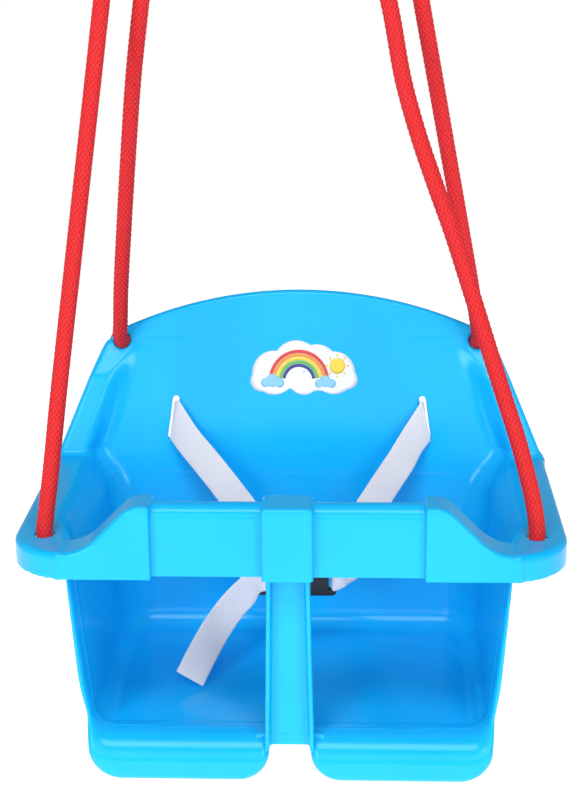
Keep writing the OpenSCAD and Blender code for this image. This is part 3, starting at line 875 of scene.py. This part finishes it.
def hanging_rope(name):
    """One rope from its stopper knot through its hole up to its eye. Gives its length in metres."""
    left, front = name.endswith("left"), name.startswith("front")
    sign = -1 if left else 1
    route = ROUTES[name]
    centre = np.array([RING_X[0 if left else 1] + (-1 if front else 1) * EYE_GAP / 2, HANG_Y, HANG_Z])
    down = unit(np.subtract(route[-1], centre))
    if front:
        hole = np.array([sign * FRONT_HOLE[0], FRONT_HOLE[1], FLANGE_Z])
        start = [hole - (0, 0, 9), hole - (0, 0, 3)]
        knot = stopper(name, hole - (0, 0, WALL + 0.1), (0, 0, -1))
    else:
        x, up = sign * BACK_HOLE[0], BACK_HOLE[1]
        start = [arch_point(x, up, behind) for behind in (9, 3, -3)]
        knot = stopper(name, arch_point(x, up, WALL + 0.1), ARCH_IN)
    top = centre + (WHIP_START + WHIP_LEN) * down
    path, s = curve(start + route + [top + 8 * down, top, top - 12 * down], 0.6)
    parts = Parts()
    rope_tube(parts, path, s, ROPE_R)
    obj = settle(parts.make("braided_rope_" + name, [ROPE]), "swing", "rope_fibre", "rope_" + name)
    loop = eye(name, centre, down)
    return s[-1] / 1000


ROPE_LENGTHS = {name: hanging_rope(name) for name in ROUTES}
print("rope lengths", ROPE_LENGTHS)


# ---- seat

SEAT_CELL = 1.5

points, faces, normals = nets(shell_field, (-195, -7.5, -3), (195, 285, 303), SEAT_CELL, True)
settle(add_piece("moulded_seat", points, faces, [PLASTIC], normals), "swing", "shell_plastic", "seat_shell")


# ---- rings


WIRE_R, RING_HALF_W, RING_SIDE, RING_CORNER = 3.0, 27.0, 14.0, 4.0


def d_ring(name, x):
    """Bent and welded wire: straight bar, two short sides and a half circle."""
    r, w, rise, corner = WIRE_R, RING_HALF_W, RING_SIDE, RING_CORNER
    quarter, half_turn = np.radians(range(0, 91, 9)), np.radians(range(0, 181, 4))
    flat = [(-4.0, 0.0), (w - corner, 0.0)]
    flat += [(w - corner + corner * math.sin(a), corner - corner * math.cos(a)) for a in quarter]
    flat += [(w * math.cos(a), rise + w * math.sin(a)) for a in half_turn]
    flat += [(-w + corner - corner * math.cos(a), corner - corner * math.sin(a)) for a in quarter]
    path, s = even([(x + a, HANG_Y, HANG_Z + b) for a, b in flat + [(-4.0, 0.0)]], 0.7)
    path, s = path[:-1], s[:-1]
    around = 32
    weld = np.exp(-(((path[:, 0] - x - 1) / 2.2) ** 2)) * (path[:, 2] < HANG_Z + 2)
    ripple = np.sin(5 * turns(around)[None] + 1.7 * path[:, :1]) * 0.12
    radius = r - 0.02 + weld[:, None] * (0.35 + ripple)
    parts = Parts()
    parts.grid(tube(path, radius, around, True), girth(r, around), s, closed=True)
    settle(parts.make("welded_" + name, [STEEL]), "hanger", "ring_steel", name)


d_ring("left_ring", RING_X[0])
d_ring("right_ring", RING_X[1])


# ---- belt

BELT_W, BELT_T = 23.0, 1.6
BUCKLE = np.array([1.0, 145.0, 99.0])
PLUG_T, SOCKET_T = 6.0, 9.0
LEFT_Y = BUCKLE[1] + PLUG_T / 2 + 0.4 + BELT_T / 2
RIGHT_Y = BUCKLE[1] + SOCKET_T / 2 + 0.3 + BELT_T / 2
TAIL_Y = BUCKLE[1] - PLUG_T / 2 - 0.2 - BELT_T / 2


def back_face(z):
    """Rear of the cavity's back wall at height z."""
    return BACK_Y + WALL + BACK_Y_GROWS * (z - CAVITY_FOOT) / CAVITY_H


def across_mirror(rows):
    """The rows in reverse order with their x turned round."""
    return [[-x, y, z] for x, y, z in reversed(rows)]


def webbing(name, body, nodes, centres, halves, cup=0.0):
    """Woven strap: selvedges a little thicker, edges scalloped by the weft.

    Each centre's half gives the strap's direction across and its share of half the width.
    """
    both, s = curve(np.hstack([np.asarray(centres, float), np.asarray(halves, float)]), 0.9)
    path, half = both[:, :3], both[:, 3:] * BELT_W / 2
    t = tangents(path)
    normal = unit(np.cross(t, half))
    m = 22
    u = np.sin(np.linspace(-np.pi / 2, np.pi / 2, m))
    selvedge = 0.86 + 0.14 * np.exp(-(((np.abs(u) - 0.9) / 0.06) ** 2))
    thick = BELT_T / 2 * (1 - np.abs(u) ** 10) ** 0.5 * selvedge
    width = 1 - 0.012 * np.cos(2 * np.pi * s / 1.5)[:, None]
    bow = cup * (1 - u**2)

    def face(sign, order):
        uu, th = u[order], thick[order]
        return (path[:, None] + (uu[None] * width)[..., None] * half[:, None]
                + (sign * th + bow[order])[None, :, None] * normal[:, None])

    forward, backward = np.arange(m), np.arange(m - 2, 0, -1)
    points = np.concatenate([face(1, forward), face(-1, backward)], 1)
    across = np.concatenate([u, u[::-1][1:]]) * BELT_W / 2
    parts = Parts()
    parts.grid(points, across, s)
    obj = parts.make(name, [WEBBING])
    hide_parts(*nodes)
    if body:
        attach(obj, body)
    return obj


slot_y = back_face(SLOT[1]) + BELT_T / 2 + 0.1
run = [[-99, 223.6, 199], [-100, 226.5, 200], [-99.8, slot_y - 1.2, 200], [-98, slot_y, 200]]
run_halves = [[0.3, 0.15, 1.4], [0.17, 0.16, 1.2], [0.1, 0.17, 1.05], [0, 0.167, 1]]
webbing("belt_behind_back", "swing", ["belt_back_run"],
        run + [[-60, slot_y, 200], [0, slot_y, 200], [60, slot_y, 200]] + across_mirror(run),
        run_halves + [[0, 0.167, 1]] * 3 + across_mirror(run_halves))

left = webbing(
    "belt_left_half", None, ["belt_left"],
    [[-99, 223.6, 199], [-88, 214, 186], [-73.5, 202, 172.5], [-60, 190, 160], [-48, 178.5, 148.5],
     [-41.5, 172, 142], [-37.5, 163, 127], [-38, 155.5, 112], [-38.5, 151.2, 103.5], [-35, LEFT_Y, 99],
     [-22, LEFT_Y, 99], [-17.5, LEFT_Y - 1.2, 99], [-15.4, BUCKLE[1], 99], [-17.3, TAIL_Y + 1.2, 99],
     [-20, TAIL_Y + 0.3, 99]],
    [[0.3, 0.15, 1.4], [0.58, 0.13, 0.86], [0.72, 0.13, 0.68], [0.74, 0.13, 0.66], [0.76, 0.13, 0.64],
     [0.78, 0.12, 0.62], [0.85, 0.08, 0.52], [0.7, 0.08, 0.71], [0.35, 0.05, 0.93]] + [[0, 0, 1]] * 6)
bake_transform(left)

webbing("belt_right_half", "swing", ["belt_right"],
        [[101, 223.6, 199], [90.5, 214, 186], [81, 202, 173], [70.5, 190, 160.5], [60.5, 178.5, 148.5],
         [55, 172, 141.5], [51.5, 164.5, 128], [50, 157.8, 118], [48.5, 153.5, 111],
         [44.5, RIGHT_Y, 106], [34, RIGHT_Y, 99.6], [30.5, RIGHT_Y - 0.6, 99],
         [27.6, BUCKLE[1] + 1.5, 99], [29.5, BUCKLE[1] - 4.9, 99], [34.6, BUCKLE[1] - 3.6, 100.8],
         [38.5, RIGHT_Y - 2.3, 103.4], [42.5, RIGHT_Y - 1.7, 105.6]],
        [[-0.3, 0.15, 1.4], [-0.6, 0.13, 0.84], [-0.8, 0.13, 0.58], [-0.83, 0.13, 0.54],
         [-0.83, 0.13, 0.54], [-0.83, 0.12, 0.54], [-0.85, 0.1, 0.5], [-0.72, 0.08, 0.69],
         [-0.5, 0.04, 0.86], [-0.25, 0, 0.97], [-0.03, 0, 1], [0, 0, 0.94], [0, 0, 0.93],
         [0, 0, 0.93], [-0.15, 0, 0.88], [-0.35, 0, 0.83], [-0.4, 0, 0.82]])

webbing("belt_free_tail", "buckle_plug", ["belt_tail"],
        [[-18, TAIL_Y, 99], [-28, TAIL_Y, 98], [-36, 136, 91], [-47, 127, 82], [-57, 117, 71],
         [-68, 101, 56], [-77.5, 84, 41]],
        [[0, 0, 1], [-0.1, 0, 0.99], [-0.4, 0, 0.92], [-0.59, 0, 0.81], [-0.72, 0, 0.69],
         [-0.84, 0, 0.54], [-0.85, 0, 0.52]], cup=0.3)


def stitches():
    """Three rows of thread that close the right half's loop."""
    parts = Parts()
    for row in (38.6, 41.4, 44.2):
        for k in range(7):
            z = BUCKLE[2] - 4.2 + 2.8 * k
            ends = [[row, RIGHT_Y - 3.15, z - 1.1], [row, RIGHT_Y - 3.4, z - 0.5],
                    [row, RIGHT_Y - 3.4, z + 0.5], [row, RIGHT_Y - 3.15, z + 1.1]]
            path, s = curve(ends, 0.3)
            taper = 0.32 * np.sqrt(np.clip(1 - (2 * s / s[-1] - 1) ** 4, 0.08, 1))
            parts.grid(tube(path, taper[:, None], 8), np.arange(9) * 0.25, s)
    settle(parts.make("belt_seam", [THREAD]), "swing", "stitch_thread", "belt_stitching")


stitches()


# ---- buckle

MOUTH, SOCKET_L, PLUG_L, BUCKLE_H, GAP = -2.0, 34.0, 31.0, 31.0, 0.3
PRONG_L, PRONG_T, PRONG_IN, PRONG_OUT = 24.0, 3.6, 9.2, 11.4
PAD_FROM, PAD_TO, PAD_OUT, PRONG_CLEAR = 9.0, 21.0, 12.2, 0.4


def slab(x, y, z, a, b, half_y, half_z, r):
    """Rounded block from a to b in x, seen in the buckle's own axes."""
    flat = rmax(rmax(x - b, a - x, r), np.abs(z) - half_z, r)
    return rmax(flat, np.abs(y) - half_y, min(r, 0.9))


def socket_field(x, y, z):
    """Female half: crowned case with its mouth, two windows, a bar slot and a step line."""
    right = MOUTH + SOCKET_L
    crown = SOCKET_T / 2 - 0.9 * (z / (BUCKLE_H / 2)) ** 2
    body = slab(x, y, z, MOUTH, right, SOCKET_T, BUCKLE_H / 2, 1.6)
    body = rmax(body, np.hypot(x - right + 40, z) - 40, 2.5)
    body = rmax(body, np.abs(y) - crown, 1.1)
    hollow = slab(x, y, z, MOUTH - 9, MOUTH + 27, 2.4, 12.7, 0.5)
    windows = slab(x, y, z, 8, 20, 2.4, 40, 0.6)
    bar_slot = slab(x, y, z, MOUTH + 26, right - 3.5, 20, 11, 1.0)
    step_line = np.maximum(np.abs(np.abs(y) - crown - 0.1) - 0.45, np.abs(x - 3.2) - 0.4)
    body = rmax(body, -np.minimum(np.minimum(hollow, windows), bar_slot), 0.5)
    return rmax(body, -step_line, 0.2)


def plug_field(x, y, z):
    """Male half without its prongs: two slots for the strap, grips and a middle tongue."""
    right = MOUTH - GAP
    left_end = right - PLUG_L
    body = slab(x, y, z, left_end, right, PLUG_T / 2, BUCKLE_H / 2, 1.5)
    for a in (left_end + 3.5, left_end + 13):
        body = rmax(body, -slab(x, y, z, a, a + 6, 20, 12, 1.2), 0.6)
    grips = 0.25 * np.sin(2 * np.pi * x / 1.6) * ((x > left_end + 20) & (x < right - 2))
    body = body - np.where(np.abs(y) > PLUG_T / 2 - 0.8, grips, 0)
    tongue = slab(x, y, z, right - 1.2, right + 22, 1.8, 3.5, 0.7)
    return rmin(body, tongue, 0.6)


def prong_field(x, y, z):
    """Upper squeeze prong with its ribbed pad."""
    root = MOUTH - GAP + PRONG_CLEAR
    arm = rmax(x - root - PRONG_L, root - x, 0.8)
    arm = rmax(arm, np.maximum(PRONG_IN - z, z - PRONG_OUT), 0.6)
    pad = np.maximum(root + PAD_FROM - x, x - root - PAD_TO)
    pad = rmax(pad, np.maximum(PRONG_IN - z, z - PAD_OUT), 0.6)
    ribs = 0.18 * np.abs(np.sin(np.pi * (x - root - PAD_FROM) / 2)) * (z > 11.5)
    return rmax(np.minimum(arm, pad + ribs), np.abs(y) - PRONG_T / 2, 0.5)


def moulded(name, field, low, high, body, node, h=0.55):
    """One part of the buckle, meshed from its field in the buckle's own axes."""
    p, f, n = nets(field, low, high, h)
    settle(add_piece(name, p + BUCKLE, f, [BLACK], n), body, "buckle_plastic", node)


moulded("buckle_female", socket_field, (-4, -6, -17), (34, 6, 17), "swing", "buckle_socket")
moulded("buckle_male", plug_field, (-35, -4.5, -17), (22, 4.5, 17), "buckle_plug", "buckle_plug")
moulded("squeeze_arm_upper", prong_field, (-4, -3, 8), (24, 3, 13.5), "prong_upper", "prong_upper", 0.4)
moulded("squeeze_arm_lower", lambda x, y, z: prong_field(x, y, -z), (-4, -3, -13.5), (24, 3, -8),
        "prong_lower", "prong_lower", 0.4)


# ---- sticker

STICKER = (4.0, 239.0)
FILM_LIFT, INK_LIFT, CLOUD_LIFT = 0.3, 0.42, 0.5


def back_surface(x, z):
    """Front of the backrest at x and z, found on the seat's own field."""
    y = np.full(np.shape(x), 205.0)
    for _ in range(40):
        y = y + np.clip(shell_field(np.asarray(x, float), y, np.asarray(z, float)), -2, 2) * 0.9
    return y


def star_disc(parts, centre, outline, lift, slot, thick=0.12, rows=10):
    """A flat shape laid on the backrest: outline is in the sticker's own x and z."""
    outline = np.asarray(outline, float)
    k = len(outline)
    share = np.linspace(0.02, 1, rows)
    flat = centre + share[:, None, None] * (outline - centre)[None]
    x, z = STICKER[0] + flat[..., 0], STICKER[1] + flat[..., 1]
    y = back_surface(x.ravel(), z.ravel()).reshape(x.shape) - lift
    top = np.stack([x, y, z], -1)
    rim = top[-1:] + np.array([0, thick + 0.1, 0])
    parts.grid(np.concatenate([top, rim]), np.zeros(k + 1), np.zeros(rows + 1), slot=slot, caps=False)


def circles_outline(circles, centre, steps=180):
    """Outline, seen from the centre, of a union of circles."""
    out = []
    for a in np.linspace(0, 2 * np.pi, steps, endpoint=False):
        d = np.array([math.cos(a), math.sin(a)])
        reach = 0.5
        for cx, cz, r in circles:
            w = np.array([cx, cz]) - centre
            along = w @ d
            gap = r * r - (w @ w - along * along)
            if gap > 0:
                reach = max(reach, along + math.sqrt(gap))
        out.append(centre + reach * d)
    return np.array(out)


def arc_band(parts, centre, low, high, lift, slot):
    """One band of the rainbow, from radius low to high."""
    a = np.radians(np.linspace(8, 172, 60))
    ring = []
    for r in np.linspace(low, high, 4):
        ring.append(np.stack([centre[0] + r * np.cos(a), centre[1] + r * np.sin(a)], 1))
    flat = np.stack(ring, 1)
    x, z = STICKER[0] + flat[..., 0], STICKER[1] + flat[..., 1]
    y = back_surface(x.ravel(), z.ravel()).reshape(x.shape) - lift
    top = np.stack([x, y, z], -1)
    under = top[:, ::-1] + np.array([0, 0.08, 0])
    parts.grid(np.concatenate([top, under], 1), np.zeros(9), np.zeros(60), slot=slot)


def sticker():
    """A white cloud-shaped film with a rainbow, a sun and two small clouds."""
    inks = [("film_white", (0.86, 0.87, 0.9)), ("film_red", (0.75, 0.03, 0.035)),
            ("film_orange", (0.9, 0.3, 0.02)), ("film_green", (0.12, 0.5, 0.08)),
            ("film_navy", (0.02, 0.035, 0.28)), ("film_yellow", (0.92, 0.68, 0.04)),
            ("film_sky", (0.25, 0.6, 0.85))]
    parts = Parts()
    base = [(-24, -4, 17), (-6, 2, 19), (10, 0, 18), (24, -4, 16.5), (-34, -10, 8.5), (35, -9, 7.5),
            (0, -8, 13)]
    centre = np.array([0.0, -3.0])
    star_disc(parts, centre, circles_outline(base, centre), FILM_LIFT, 0, thick=0.25)
    bow, bow_r, band = (-4, -10), 24.2, 2.7
    for k, slot in enumerate((1, 2, 5, 3, 4)):
        arc_band(parts, bow, bow_r - band * (k + 1), bow_r - band * k - 0.25, INK_LIFT, slot)
    sun, sun_r = np.array([26.5, 1.5]), 6.2
    star_disc(parts, sun, circles_outline([(*sun, sun_r)], sun, 60), INK_LIFT, 5, rows=4)
    for a in np.radians(range(0, 360, 45)):
        tip = sun + (sun_r + 2.1) * np.array([math.cos(a), math.sin(a)])
        star_disc(parts, tip, circles_outline([(*tip, 0.95)], tip, 16), INK_LIFT, 5, rows=3)
    for x, z, k in ((-25, -11, 1.0), (17, -11.5, 0.9)):
        puffs = [(x - 5.5 * k, z - 0.6, 3.6 * k), (x, z + 1.2, 5 * k), (x + 5.5 * k, z - 0.6, 3.8 * k)]
        middle = np.array([x, z])
        star_disc(parts, middle, circles_outline(puffs, middle, 90), CLOUD_LIFT, 6, rows=5)
    settle(parts.make("sky_sticker", [film(*ink) for ink in inks]), "swing", "sticker_film", "sticker")


sticker()
